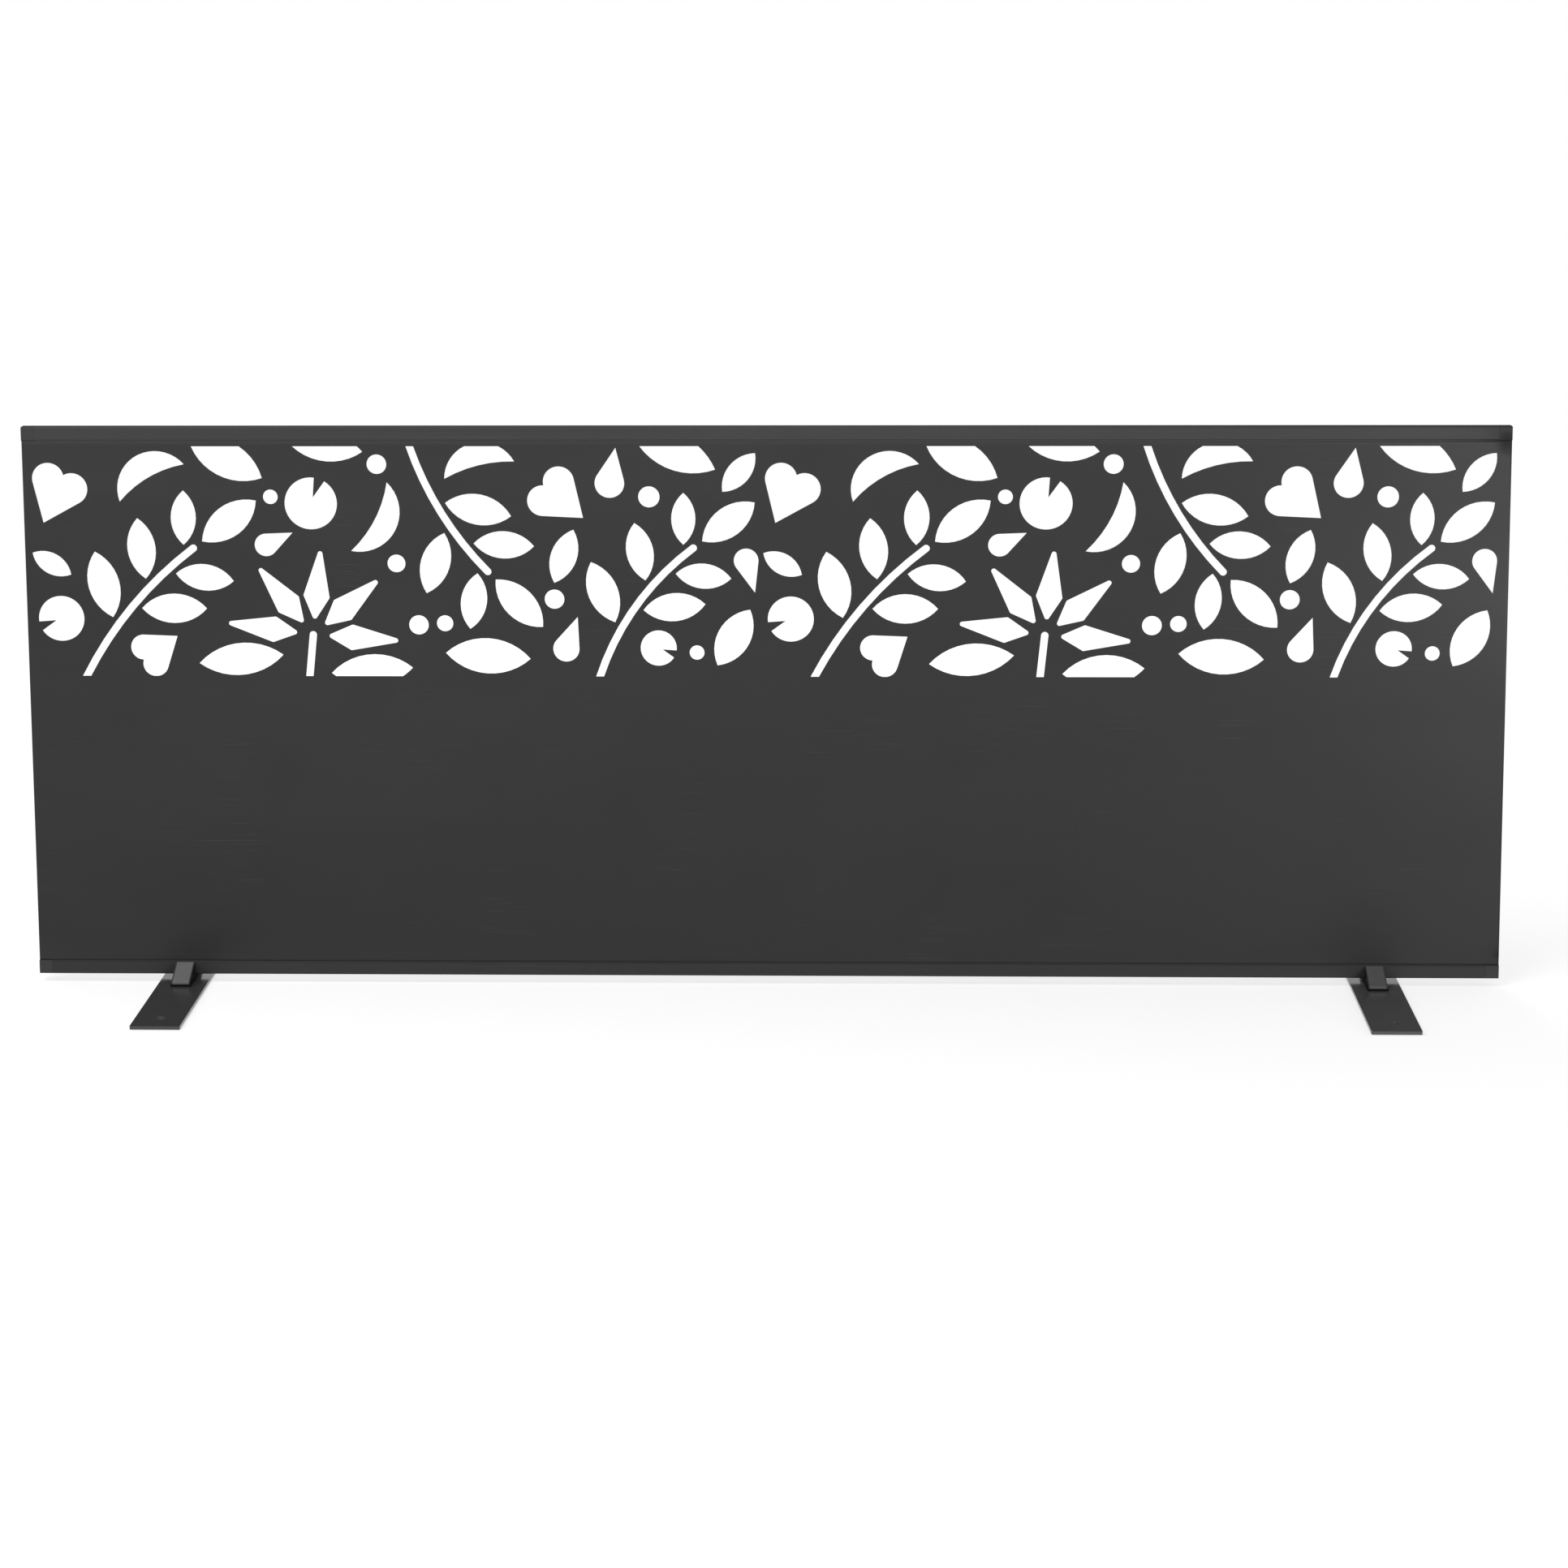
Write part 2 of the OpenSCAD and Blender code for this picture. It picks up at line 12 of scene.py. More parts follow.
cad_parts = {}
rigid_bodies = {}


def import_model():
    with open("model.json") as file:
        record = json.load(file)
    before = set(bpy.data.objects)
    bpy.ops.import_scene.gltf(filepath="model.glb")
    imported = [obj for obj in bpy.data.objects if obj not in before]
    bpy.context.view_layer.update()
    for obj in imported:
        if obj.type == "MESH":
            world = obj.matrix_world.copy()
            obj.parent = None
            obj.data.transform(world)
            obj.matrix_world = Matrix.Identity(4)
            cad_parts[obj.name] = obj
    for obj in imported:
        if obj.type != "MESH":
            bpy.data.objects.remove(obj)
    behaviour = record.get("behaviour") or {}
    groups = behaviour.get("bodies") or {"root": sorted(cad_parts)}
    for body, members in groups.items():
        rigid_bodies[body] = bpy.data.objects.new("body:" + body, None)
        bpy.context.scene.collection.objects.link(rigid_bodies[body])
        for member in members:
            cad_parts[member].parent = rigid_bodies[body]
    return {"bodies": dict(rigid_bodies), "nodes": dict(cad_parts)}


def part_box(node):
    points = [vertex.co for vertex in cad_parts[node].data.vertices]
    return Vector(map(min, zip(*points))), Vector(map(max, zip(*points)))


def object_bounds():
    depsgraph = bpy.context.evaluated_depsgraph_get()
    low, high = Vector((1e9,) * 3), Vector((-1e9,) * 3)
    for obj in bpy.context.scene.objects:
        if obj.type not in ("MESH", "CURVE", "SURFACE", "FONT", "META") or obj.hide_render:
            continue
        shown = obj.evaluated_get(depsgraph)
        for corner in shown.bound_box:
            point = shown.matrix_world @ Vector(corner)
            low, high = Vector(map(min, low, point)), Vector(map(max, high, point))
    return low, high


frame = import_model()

NODES = frame["nodes"]
MM = 0.001

for thing in set(bpy.data.objects) - {*NODES.values(), *frame["bodies"].values()}:
    bpy.data.objects.remove(thing)
cad_low, cad_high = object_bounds()

# Places on the panel, from the frame
PANEL_END = cad_high.x
SHEET_LOW, SHEET_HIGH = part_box("perforated_sheet")
SHEET_FRONT = SHEET_LOW[1]
SHEET_BOTTOM = SHEET_LOW[2]
SHEET_TOP = SHEET_HIGH[2]
# Length of an end cap outside its rail
CAP_HEAD = 16 * MM
# From the panel's middle plane to the centre of a fixing hole in a foot plate
FIXING_Y = 168 * MM
# Distances from that centre between which the countersink's painted shade gives way to the plate's
# finish
FIXING_RIM = (6.6 * MM, 6.9 * MM)


def linear(hex_colour):
    """A written sRGB colour as the linear RGBA that the shaders take."""
    parts = [int(hex_colour[i:i + 2], 16) / 255 for i in (1, 3, 5)]
    return (*[c / 12.92 if c <= 0.04045 else ((c + 0.055) / 1.055) ** 2.4 for c in parts], 1.0)


def add_node(tree, kind, inputs, **settings):
    """A new node with these settings. Each input, by name or number, gets a value or a link."""
    node = tree.nodes.new(kind)
    for name, value in settings.items():
        setattr(node, name, value)
    for name, value in inputs.items():
        if hasattr(value, "is_output"):
            tree.links.new(value, node.inputs[name])
        else:
            node.inputs[name].default_value = value
    return node


class Finish:
    """One procedural material, built up in short calls. Sizes are in metres."""

    def __init__(self, name, colour, roughness, specular=0.5, metallic=0.0):
        self.material = bpy.data.materials.new(name)
        self.material.use_nodes = True
        self.tree = self.material.node_tree
        self.shader = self.tree.nodes["Principled BSDF"]
        self.shader.inputs["Base Color"].default_value = linear(colour)
        self.shader.inputs["Roughness"].default_value = roughness
        self.shader.inputs["Specular IOR Level"].default_value = specular
        self.shader.inputs["Metallic"].default_value = metallic
        self.place = self.add("TexCoord", {}).outputs["Object"]

    def add(self, kind, inputs, **settings):
        """A new shader node in this material."""
        return add_node(self.tree, "ShaderNode" + kind, inputs, **settings)

    def scaled_place(self, size, stretch=(1, 1, 1)):
        """The place counted in steps of size, times stretch along each axis."""
        inputs = {"Vector": self.place, "Scale": [size * share for share in stretch]}
        return self.add("Mapping", inputs, vector_type="TEXTURE").outputs["Vector"]

    def noise(self, size, stretch=(1, 1, 1), detail=2, distortion=0.0):
        """Noise whose features are about size long, and longer along the axes in stretch."""
        inputs = {
            "Vector": self.scaled_place(size, stretch),
            "Scale": 1,
            "Detail": detail,
            "Distortion": distortion,
        }
        return self.add("TexNoise", inputs).outputs["Fac"]

    def dots(self, pitch, radius):
        """1 in small dots about a pitch apart, 0 between them."""
        cells = self.add("TexVoronoi", {"Vector": self.scaled_place(pitch), "Scale": 1})
        return self.span(cells.outputs["Distance"], radius / pitch, 0.5 * radius / pitch)

    def near(self, centre, inner, outer):
        """1 within the inner radius of a centre, fading to 0 at the outer one."""
        distance = self.add("VectorMath", {0: self.place, 1: centre}, operation="DISTANCE")
        return self.span(distance.outputs["Value"], outer, inner)

    def along(self, axis):
        """The place's X, Y or Z."""
        return self.add("SeparateXYZ", {"Vector": self.place}).outputs[axis]

    def facing(self, axis):
        """How far the surface itself faces along an axis, from -1 to 1."""
        normal = self.add("NewGeometry", {}).outputs["True Normal"]
        return self.add("SeparateXYZ", {"Vector": normal}).outputs[axis]

    def on_top(self):
        """1 on level upper faces, 0 on upright ones."""
        return self.span(self.facing("Z"), 0.5, 0.9)

    def span(self, value, low, high, out_low=0, out_high=1):
        """Maps low..high to out_low..out_high, held at both ends."""
        inputs = {
            "Value": value,
            "From Min": low,
            "From Max": high,
            "To Min": out_low,
            "To Max": out_high,
        }
        return self.add("MapRange", inputs).outputs["Result"]

    def combine(self, operation, a, b=0.0):
        """The result of an operation of the Math node on outputs or plain numbers."""
        return self.add("Math", {0: a, 1: b}, operation=operation).outputs["Value"]

    def product(self, a, b):
        return self.combine("MULTIPLY", a, b)

    def off(self, value, centre):
        """How far a value is from a centre, either way."""
        return self.combine("ABSOLUTE", self.combine("SUBTRACT", value, centre))

    def tint(self, share, colour):
        """Mixes the base colour towards a written one by share."""
        base = self.shader.inputs["Base Color"]
        so_far = base.links[0].from_socket if base.links else base.default_value
        inputs = {"Factor": share, "A": so_far, "B": linear(colour)}
        mixed = self.add("Mix", inputs, data_type="RGBA")
        self.tree.links.new(mixed.outputs["Result"], base)

    def roughness(self, value):
        """Takes the roughness from an output."""
        self.tree.links.new(value, self.shader.inputs["Roughness"])

    def dull(self, share, least):
        """Raises the roughness to at least share times least."""
        so_far = self.shader.inputs["Roughness"].links[0].from_socket
        self.roughness(self.combine("MAXIMUM", so_far, self.product(share, least)))

    def bump(self, height, depth, strength=1.0):
        """Adds relief of that depth on top of the relief so far."""
        inputs = {"Strength": strength, "Distance": depth, "Height": height}
        normal = self.shader.inputs["Normal"]
        if normal.links:
            inputs["Normal"] = normal.links[0].from_socket
        self.tree.links.new(self.add("Bump", inputs).outputs["Normal"], normal)


# Height of each joint between sheet and rail, and the tone of the painted light in it, lighter than the
# coat
JOINT_PAINTED_LIGHT = ((SHEET_TOP, "#5c5c5c"), (SHEET_BOTTOM, "#363636"))
# Middle of the painted light's layer, behind the sheet's front
JOINT_TINT_DEPTH = 1.2 * MM


def paint_light_in_joints(finish):
    """Painted light in the grooves between sheet and rails, lighter than the coat, and dull metal
    beside them.
    """
    sunk = finish.span(finish.off(finish.along("Y"), SHEET_FRONT + JOINT_TINT_DEPTH), 1.1 * MM, 0.6 * MM)
    for height, tone in JOINT_PAINTED_LIGHT:
        from_joint = finish.off(finish.along("Z"), height)
        dust = finish.product(sunk, finish.span(from_joint, 1.5 * MM, 0.8 * MM))
        finish.tint(dust, tone)
        finish.dull(finish.span(from_joint, 3 * MM, 1.5 * MM), 0.9)


def shade_and_dull_tops(finish):
    """Painted shade on level upper faces: darker there, and quite matt."""
    finish.tint(finish.product(finish.on_top(), 0.85), "#101010")
    finish.dull(finish.on_top(), 1.0)


# Height, reach and strength of each patch of painted shade at the right-hand end
CORNER_SHADE = (
    (cad_high.z, 85 * MM, 0.5),
    (SHEET_TOP, 40 * MM, 0.75),
    (SHEET_BOTTOM + 12 * MM, 95 * MM, 0.1),
    (SHEET_BOTTOM + 12 * MM, 27 * MM, 0.75),
)
# Over 1, so that a patch of painted shade is quite matt before it is quite dark
CORNER_SHADE_ROUGHNESS = 1.3


def shade_right_corners(finish):
    """Painted shade at the two right-hand corners: darker and matter there."""
    cloud = finish.span(finish.noise(24 * MM, detail=3), 0.3, 0.7, 0.7, 1)
    for height, reach, strength in CORNER_SHADE:
        spot = finish.near((PANEL_END, SHEET_FRONT, height), 0, reach)
        share = finish.product(finish.product(spot, cloud), strength)
        finish.tint(share, "#0c0c0c")
        finish.dull(share, CORNER_SHADE_ROUGHNESS)


def powder_coat(name, colour, roughness, light, dark):
    """Fine-textured powder coat: grain, slight orange peel, smears, long scuffs and dust, with painted
    shade on level tops and painted light in the joints.
    """
    coat = Finish(name, colour, roughness, specular=0.27)
    smear = coat.noise(260 * MM, stretch=(2.6, 1, 0.7), detail=5, distortion=0.6)
    coat.tint(coat.span(smear, 0.42, 0.74, 0, 0.5), light)
    cloud = coat.noise(90 * MM, stretch=(1.5, 1, 1), detail=4)
    coat.tint(coat.span(cloud, 0.5, 0.25, 0, 0.4), dark)
    scuff = coat.noise(1.1 * MM, stretch=(70, 1, 1), detail=1, distortion=0.1)
    scuffed = coat.span(coat.noise(120 * MM, detail=2), 0.55, 0.65, 0, 0.22)
    coat.tint(coat.product(scuffed, coat.span(scuff, 0.66, 0.74)), "#4c4c4c")
    coat.tint(coat.product(coat.dots(9 * MM, 0.35 * MM), 0.2), "#858583")
    coat.roughness(coat.span(smear, 0.3, 0.7, roughness + 0.04, roughness - 0.05))
    # Painted shade on level tops
    shade_and_dull_tops(coat)
    # Painted light in the joints between sheet and rails
    paint_light_in_joints(coat)
    coat.bump(coat.noise(5 * MM, detail=1), 0.05 * MM, 0.3)
    coat.bump(coat.noise(0.7 * MM, detail=3), 0.03 * MM, 0.5)
    return coat


def sheet_coat():
    """Coat of the sheet, with a painted highlight along the bend at its top edge."""
    coat = powder_coat("sheet_coat", "#1d1d1d", 0.41, "#242424", "#171717")
    # Painted highlight along the top bend
    bend_highlight = coat.span(coat.along("Z"), SHEET_TOP - 5 * MM, SHEET_TOP - 2 * MM, 0, 0.5)
    coat.tint(bend_highlight, "#303030")
    # Painted shade at the right-hand corners
    shade_right_corners(coat)
    return coat.material


def rail_coat(name, colour, roughness, light, dark):
    """Satin coat on a drawn tube, with faint lines along it."""
    coat = powder_coat(name, colour, roughness, light, dark)
    lines = coat.noise(0.9 * MM, stretch=(900, 1, 1), detail=2)
    coat.tint(coat.span(lines, 0.45, 0.75, 0, 0.6), light)
    coat.bump(lines, 0.02 * MM, 0.3)
    # Painted shade at the right-hand corners
    shade_right_corners(coat)
    return coat.material


def worn_edge(name, colour, roughness, specular, joint_tone="#080808"):
    """Thin coat along an edge, rubbed lighter in places and dark in the caps' joints."""
    coat = Finish(name, colour, roughness, specular)
    rub = coat.noise(14 * MM, detail=4, distortion=0.4)
    coat.tint(coat.span(rub, 0.5, 0.72, 0, 0.7), "#6a6a6a")
    from_middle = coat.combine("ABSOLUTE", coat.along("X"))
    joint = coat.span(coat.off(from_middle, PANEL_END - CAP_HEAD), 1 * MM, 0.5 * MM)
    coat.tint(joint, joint_tone)
    coat.roughness(coat.span(joint, 0, 1, roughness, 0.9))
    # Painted light in the joints between sheet and rails
    paint_light_in_joints(coat)
    coat.bump(coat.noise(0.6 * MM), 0.02 * MM, 0.4)
    return coat.material


def plate_coat(side, colour, light):
    """Smooth semi-gloss coat on a foot plate, scratched and dusty, with painted shade that makes it
    darker and dull in its countersinks.
    """
    coat = Finish(side + "_plate_coat_painted_light", colour, 0.16)
    wipe = coat.noise(60 * MM, stretch=(1, 2.4, 1), detail=4, distortion=0.5)
    coat.tint(coat.span(wipe, 0.5, 0.8, 0, 0.3), light)
    low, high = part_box(side + "_base_plate")
    middle = (low[0] + high[0]) / 2
    holes = [coat.near((middle, y, high[2]), *FIXING_RIM) for y in (-FIXING_Y, FIXING_Y)]
    # Painted shade: darker and dull in the countersinks
    sunk = coat.combine("MAXIMUM", *holes)
    coat.tint(sunk, "#262627")
    gloss = coat.span(wipe, 0.3, 0.75, 0.11, 0.22)
    coat.roughness(coat.combine("MAXIMUM", gloss, coat.span(sunk, 0, 1, 0, 0.7)))
    scratch = coat.noise(0.35 * MM, stretch=(1, 160, 1), detail=1, distortion=0.2)
    coat.tint(coat.span(scratch, 0.72, 0.78, 0, 0.3), "#5c5c5d")
    coat.tint(coat.product(coat.dots(6 * MM, 0.3 * MM), 0.3), "#858583")
    coat.bump(coat.noise(7 * MM, detail=1), 0.04 * MM, 0.25)
    return coat.material


def clip_metal(side, colour, light):
    """Grey satin extrusion with drawn lines along X and a few dull blotches."""
    metal = Finish(side + "_clip_metal_painted_light", colour, 0.4)
    blotch = metal.noise(9 * MM, detail=4)
    metal.tint(metal.span(blotch, 0.45, 0.75, 0, 0.3), light)
    drawn = metal.noise(0.35 * MM, stretch=(120, 1, 1), detail=2)
    metal.tint(metal.span(drawn, 0.5, 0.8, 0, 0.5), light)
    metal.roughness(metal.span(blotch, 0.3, 0.7, 0.36, 0.47))
    metal.bump(drawn, 0.03 * MM, 0.4)
    metal.bump(metal.noise(0.4 * MM, detail=2), 0.02 * MM, 0.4)
    return metal.material


def moulded(name, colour, light, roughness, specular):
    """Moulded plastic with a fine spark-eroded grain."""
    plastic = Finish(name, colour, roughness, specular)
    mottle = plastic.noise(12 * MM, detail=3)
    plastic.tint(plastic.span(mottle, 0.4, 0.75, 0, 0.4), light)
    plastic.roughness(plastic.span(mottle, 0.3, 0.7, roughness - 0.05, roughness + 0.07))
    # Painted shade on level tops
    shade_and_dull_tops(plastic)
    plastic.bump(plastic.noise(0.5 * MM, detail=2), 0.05 * MM, 0.6)
    # Painted shade at the right-hand corners
    shade_right_corners(plastic)
    return plastic


def cover_plastic():
    """Black moulded covers, with painted light that makes their narrow rims grey."""
    plastic = moulded("cover_plastic", "#0c0c0c", "#131313", 0.7, 0.08)
    # Painted light on the rims, by which way they face
    sideways = plastic.combine("ABSOLUTE", plastic.facing("X"))
    plastic.tint(plastic.span(sideways, 0.6, 0.4, 0, 0.8), "#3c3c3c")
    return plastic.material


def rivet_coat():
    """Painted rivet heads, rubbed on the crown."""
    coat = Finish("rivet_coat", "#2b2b2b", 0.34)
    rub = coat.noise(2.2 * MM, detail=4)
    coat.tint(coat.span(rub, 0.5, 0.75, 0, 0.6), "#505050")
    coat.bump(coat.noise(0.5 * MM), 0.02 * MM, 0.4)
    return coat.material


def screw_steel():
    """Zinc-plated steel, slightly mottled."""
    steel = Finish("screw_steel", "#b9babd", 0.32, metallic=1.0)
    mottle = steel.noise(1.6 * MM, detail=4)
    steel.tint(steel.span(mottle, 0.4, 0.7, 0, 0.5), "#8d8f95")
    steel.roughness(steel.span(mottle, 0.3, 0.7, 0.26, 0.42))
    steel.bump(steel.noise(0.25 * MM), 0.01 * MM, 0.5)
    return steel.material


def rubber(name, colour, dusty, specular):
    """Black rubber with a matt cut skin, dusty in places."""
    skin = Finish(name, colour, 0.85, specular)
    dust = skin.noise(5 * MM, detail=4)
    skin.tint(skin.span(dust, 0.5, 0.75, 0, 0.5), dusty)
    skin.bump(skin.noise(0.4 * MM, detail=2), 0.06 * MM, 0.6)
    return skin.material


# Points this close are one
JOIN_REACH = 0.001 * MM
# Edges sharper than this get a small rounding
SHARP_EDGE = math.radians(40)
# Edges sharper than this stay creased in the shading
CREASE = math.radians(32)
# How far the larger faces rule the shading at a rounded edge
FACE_WEIGHT = 80
# Material slot of the edges, after the main finish in slot 0
EDGE_SLOT = 1


def mesh_steps(name, build):
    """A geometry-nodes tree of one mesh in and one out, with build adding the steps."""
    tree = bpy.data.node_groups.new(name, "GeometryNodeTree")
    tree.interface.new_socket("Mesh", in_out="INPUT", socket_type="NodeSocketGeometry")
    tree.interface.new_socket("Mesh", in_out="OUTPUT", socket_type="NodeSocketGeometry")
    start = tree.nodes.new("NodeGroupInput")
    add_node(tree, "NodeGroupOutput", {0: build(tree, start.outputs[0])})
    return tree


def join_faces(tree, mesh):
    """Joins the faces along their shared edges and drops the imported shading."""
    inputs = {"Geometry": mesh, "Distance": JOIN_REACH}
    mesh = add_node(tree, "GeometryNodeMergeByDistance", inputs).outputs["Geometry"]
    for name in ("custom_normal", "sharp_edge", "sharp_face"):
        inputs = {"Geometry": mesh, "Name": name}
        mesh = add_node(tree, "GeometryNodeRemoveAttribute", inputs).outputs["Geometry"]
    return mesh


def crease_by_angle(tree, mesh):
    """Shades smooth, except over edges sharper than CREASE."""
    angle = tree.nodes.new("GeometryNodeInputMeshEdgeAngle").outputs["Unsigned Angle"]
    soft = add_node(tree, "FunctionNodeCompare", {"A": angle, "B": CREASE}, operation="LESS_THAN")
    for domain, smooth in (("FACE", True), ("EDGE", soft.outputs["Result"])):
        inputs = {"Geometry": mesh, "Shade Smooth": smooth}
        shade = add_node(tree, "GeometryNodeSetShadeSmooth", inputs, domain=domain)
        mesh = shade.outputs["Geometry"]
    return mesh


JOIN = mesh_steps("join_faces", join_faces)
CREASES = mesh_steps("crease_by_angle", crease_by_angle)


def dress(node, material, edge=None, radius=0.0, segments=3):
    """Gives a CAD node its finish and, where it has one, a small rounded edge with its own."""
    thing = NODES[node]
    thing.data.materials.clear()
    thing.data.materials.append(material)
    if edge is None:
        return
    thing.data.materials.append(edge)
    thing.modifiers.new("join", "NODES").node_group = JOIN
    bevel = thing.modifiers.new("edges", "BEVEL")
    bevel.width = radius
    bevel.segments = segments
    bevel.limit_method = "ANGLE"
    bevel.angle_limit = SHARP_EDGE
    bevel.material = EDGE_SLOT
    thing.modifiers.new("creases", "NODES").node_group = CREASES
    normals = thing.modifiers.new("normals", "WEIGHTED_NORMAL")
    normals.keep_sharp = True
    normals.weight = FACE_WEIGHT


# Tone, light tone and joint tone of the end caps at each level
CAP_TONES = {
    "top": ("#2d2d2d", "#353535", "#1b1b1b"),
    "bottom": ("#2b2b2b", "#333333", "#080808"),
}
# Tone and light tone of each foot's plate, then tone, light tone and edge tone of its clip. The sides
# are lit and shaded copies: painted light makes the right plate and the left clip lighter, painted
# shade the left plate and the right clip darker.
FOOT_TONES_PAINTED_LIGHT = {
    "left": (("#363637", "#414142"), ("#565656", "#646464", "#727272")),
    "right": (("#434344", "#4d4d4e"), ("#434343", "#4e4e4e", "#5c5c5c")),
}


def dress_panel():
    """Finishes of the sheet, the rails, their end caps and the rivets."""
    coat_edge = worn_edge("coat_edge", "#2e2e2e", 0.4, 0.4)
    dress("perforated_sheet", sheet_coat(), coat_edge, 0.12 * MM, 2)
    # The top rail's coat and edge are lighter copies of the bottom rail's: painted light from above.
    top_coat = rail_coat("top_rail_coat_painted_light", "#2b2b2b", 0.5, "#363636", "#252525")
    lit_top_edge = worn_edge("top_coat_edge_painted_light", "#404040", 0.36, 0.45, "#1d1d1d")
    dress("top_rail", top_coat, lit_top_edge, 0.2 * MM)
    bottom_coat = rail_coat("rail_coat", "#202020", 0.45, "#2a2a2a", "#1a1a1a")
    dress("bottom_rail", bottom_coat, coat_edge, 0.2 * MM)
    rivets = rivet_coat()
    for level, (tone, light, joint_tone) in CAP_TONES.items():
        cap = moulded(level + "_cap_plastic", tone, light, 0.5, 0.25).material
        cap_edge = worn_edge(level + "_cap_edge", tone, 0.45, 0.25, joint_tone)
        for side in ("left", "right"):
            dress(f"{level}_{side}_end_cap", cap, cap_edge, 0.35 * MM)
        dress(level + "_rail_rivets", rivets)


def dress_feet():
    """Finishes of both feet."""
    plate_edge = worn_edge("plate_edge", "#3c3c3d", 0.28, 0.5)
    cover = cover_plastic()
    cover_edge = moulded("cover_edge", "#242424", "#333333", 0.5, 0.2).material
    steel = screw_steel()
    pad = rubber("pad_rubber", "#1d1d1e", "#343433", 0.25)
    # The gaskets' rubber is darker than the pads': black rubber, with painted shade of the gap under
    # each clip
    gasket = rubber("gasket_rubber_painted_shade", "#0b0b0b", "#161616", 0.08)
    # Each side's plate and clip colours hold the painted light and shade from the table above
    for side, (plate_tones, (tone, light, edge_tone)) in FOOT_TONES_PAINTED_LIGHT.items():
        clip_edge = worn_edge(side + "_clip_edge_painted_light", edge_tone, 0.34, 0.5)
        dress(side + "_base_plate", plate_coat(side, *plate_tones), plate_edge, 0.35 * MM)
        dress(side + "_clip_gasket", gasket, gasket, 0.2 * MM)
        dress(side + "_grip_clip", clip_metal(side, tone, light), clip_edge, 0.2 * MM)
        dress(side + "_clip_covers", cover, cover_edge, 0.2 * MM)
        dress(side + "_clip_screws", steel)
        dress(side + "_floor_pads", pad, pad, 0.15 * MM)


WHITE = (1.0, 1.0, 1.0, 1.0)
SKY_LEVEL = 0.6
FLOOR_RADIUS = 16.0
FLOOR_CORNERS = 96
FLOOR_DROP = 0.1 * MM
# The floor for the light that it sends back, and as it is seen: a share of the light plus a glow
FLOOR_BOUNCE = (0.8, 0.8, 0.8, 1.0)
FLOOR_SHADED = (0.45, 0.45, 0.45, 1.0)
FLOOR_GLOW = 0.6
# Distances from the middle between which the shadows fade
SHADOW_FADE = (1.5, 3.2)


def seen_ray(tree):
    """1 for rays that show the background: to the camera, in gloss and through glass."""
    path = tree.nodes.new("ShaderNodeLightPath")
    seen = path.outputs["Is Camera Ray"]
    for name in ("Is Glossy Ray", "Is Transmission Ray"):
        either = add_node(tree, "ShaderNodeMath", {0: seen, 1: path.outputs[name]}, operation="MAXIMUM")
        seen = either.outputs["Value"]
    return seen


def mix_shaders(tree, share, a, b):
    """Shader a where share is 0, shader b where it is 1."""
    inputs = {"Fac": share, 1: a.outputs[0], 2: b.outputs[0]}
    return add_node(tree, "ShaderNodeMixShader", inputs)


def make_world():
    """White where it is seen, and a plain dim sky for the light that it gives."""
    world = bpy.data.worlds.new("studio")
    bpy.context.scene.world = world
    world.use_nodes = True
    tree = world.node_tree
    tree.nodes.clear()
    lit = add_node(tree, "ShaderNodeBackground", {"Color": WHITE, "Strength": SKY_LEVEL})
    seen = add_node(tree, "ShaderNodeBackground", {"Color": WHITE, "Strength": 1.0})
    sky = mix_shaders(tree, seen_ray(tree), lit, seen)
    add_node(tree, "ShaderNodeOutputWorld", {"Surface": sky.outputs[0]})


def floor_finish():
    """Shows the shadows near the object and fades into the background further out."""
    material = bpy.data.materials.new("floor")
    material.use_nodes = True
    tree = material.node_tree
    tree.nodes.clear()
    shaded = add_node(tree, "ShaderNodeBsdfDiffuse", {"Color": FLOOR_SHADED})
    glow = add_node(tree, "ShaderNodeEmission", {"Strength": FLOOR_GLOW})
    near = add_node(tree, "ShaderNodeAddShader", {0: shaded.outputs[0], 1: glow.outputs[0]})
    far = add_node(tree, "ShaderNodeEmission", {"Strength": 1.0})
    place = tree.nodes.new("ShaderNodeTexCoord").outputs["Object"]
    distance = add_node(tree, "ShaderNodeVectorMath", {0: place}, operation="LENGTH").outputs["Value"]
    inputs = {"Value": distance, "From Min": SHADOW_FADE[0], "From Max": SHADOW_FADE[1]}
    fade = add_node(tree, "ShaderNodeMapRange", inputs).outputs["Result"]
    shown = mix_shaders(tree, fade, near, far)
    bounce = add_node(tree, "ShaderNodeBsdfDiffuse", {"Color": FLOOR_BOUNCE})
    surface = mix_shaders(tree, seen_ray(tree), bounce, shown)
    add_node(tree, "ShaderNodeOutputMaterial", {"Surface": surface.outputs[0]})
    return material


def make_floor():
    """A wide disc just under the object."""
    mesh = bpy.data.meshes.new("floor")
    turns = [math.tau * i / FLOOR_CORNERS for i in range(FLOOR_CORNERS)]
    rim = [(FLOOR_RADIUS * math.cos(t), FLOOR_RADIUS * math.sin(t), 0) for t in turns]
    mesh.from_pydata(rim, [], [range(FLOOR_CORNERS)])
    mesh.materials.append(floor_finish())
    floor = bpy.data.objects.new("floor", mesh)
    floor.location.z = cad_low.z - FLOOR_DROP
    bpy.context.scene.collection.objects.link(floor)


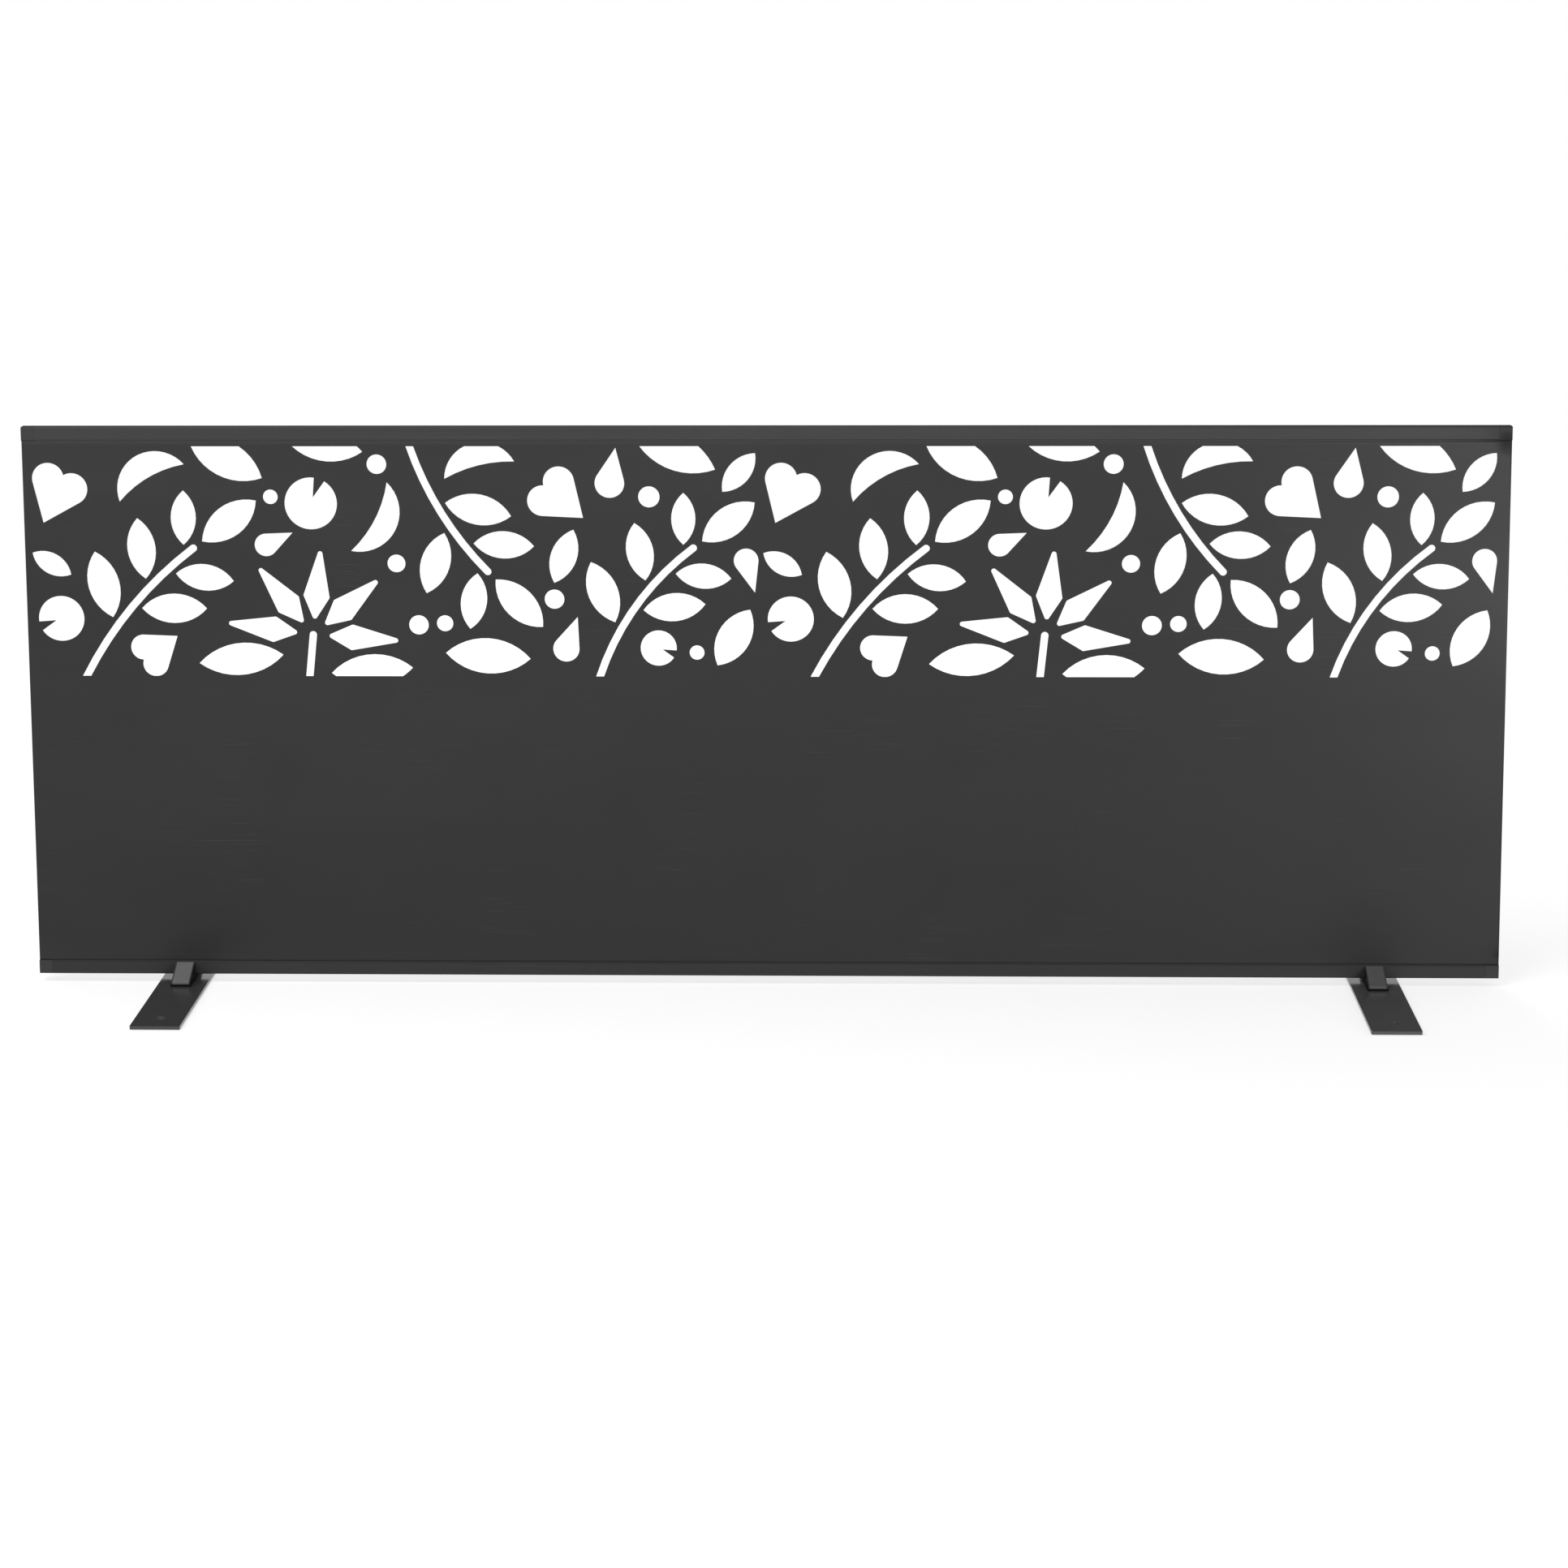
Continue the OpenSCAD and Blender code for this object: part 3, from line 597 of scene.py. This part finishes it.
# Name, place, aim, width, height and watts of each soft box: overhead to the left, low and
# broad in front, low at the right, and behind
SOFT_BOXES = (
    ("top_box", (-1.3, -1.4, 3.0), (0, 0, 0.3), 2.6, 1.6, 62),
    ("front_box", (-0.8, -3.6, 0.55), (-0.3, 0, 0.6), 2.4, 0.3, 14),
    ("right_box", (2.1, -3.0, 0.22), (0.6, 0, 0.4), 0.8, 0.4, 35),
    ("rear_box", (-0.6, 2.8, 2.2), (0, 0, 0.3), 2.4, 1.4, 40),
)


def make_lights():
    """Each soft box at its place, turned towards its aim."""
    for name, place, aim, width, height, watts in SOFT_BOXES:
        data = bpy.data.lights.new(name, "AREA")
        data.shape = "RECTANGLE"
        data.size = width
        data.size_y = height
        data.energy = watts
        lamp = bpy.data.objects.new(name, data)
        lamp.location = place
        lamp.rotation_mode = "QUATERNION"
        lamp.rotation_quaternion = (Vector(aim) - Vector(place)).to_track_quat("-Z", "Y")
        bpy.context.scene.collection.objects.link(lamp)


# Camera, at the photograph's place. Part of the photograph's tall framing is shift and the
# rest is tilt. The lens and the sensor's width are in millimetres.
CAMERA_PLACE = (0.137, -4.165, 1.28)
CAMERA_PITCH = math.radians(8.21)
CAMERA_YAW = math.radians(-1.53)
CAMERA_ROLL = math.radians(-0.24)
CAMERA_LENS = 80
CAMERA_SENSOR = 36
CAMERA_SHIFT = (0.0, -0.22)
CAMERA_REACH = 200


def make_camera():
    """A level camera, turned by yaw, then tilted down by pitch, then leant by roll."""
    data = bpy.data.cameras.new("camera")
    data.lens = CAMERA_LENS
    data.sensor_width = CAMERA_SENSOR
    data.shift_x, data.shift_y = CAMERA_SHIFT
    data.clip_end = CAMERA_REACH
    camera = bpy.data.objects.new("camera", data)
    level = Matrix.Rotation(math.radians(90), 4, "X")
    turn = Matrix.Rotation(-CAMERA_YAW, 4, "Z")
    tilt = Matrix.Rotation(-CAMERA_PITCH, 4, "X")
    lean = Matrix.Rotation(CAMERA_ROLL, 4, "Z")
    camera.matrix_world = Matrix.Translation(CAMERA_PLACE) @ turn @ level @ tilt @ lean
    bpy.context.scene.collection.objects.link(camera)
    bpy.context.scene.camera = camera


dress_panel()
dress_feet()
make_world()
make_floor()
make_lights()
make_camera()
bpy.context.scene.view_settings.view_transform = "Standard"

bpy.context.view_layer.update()
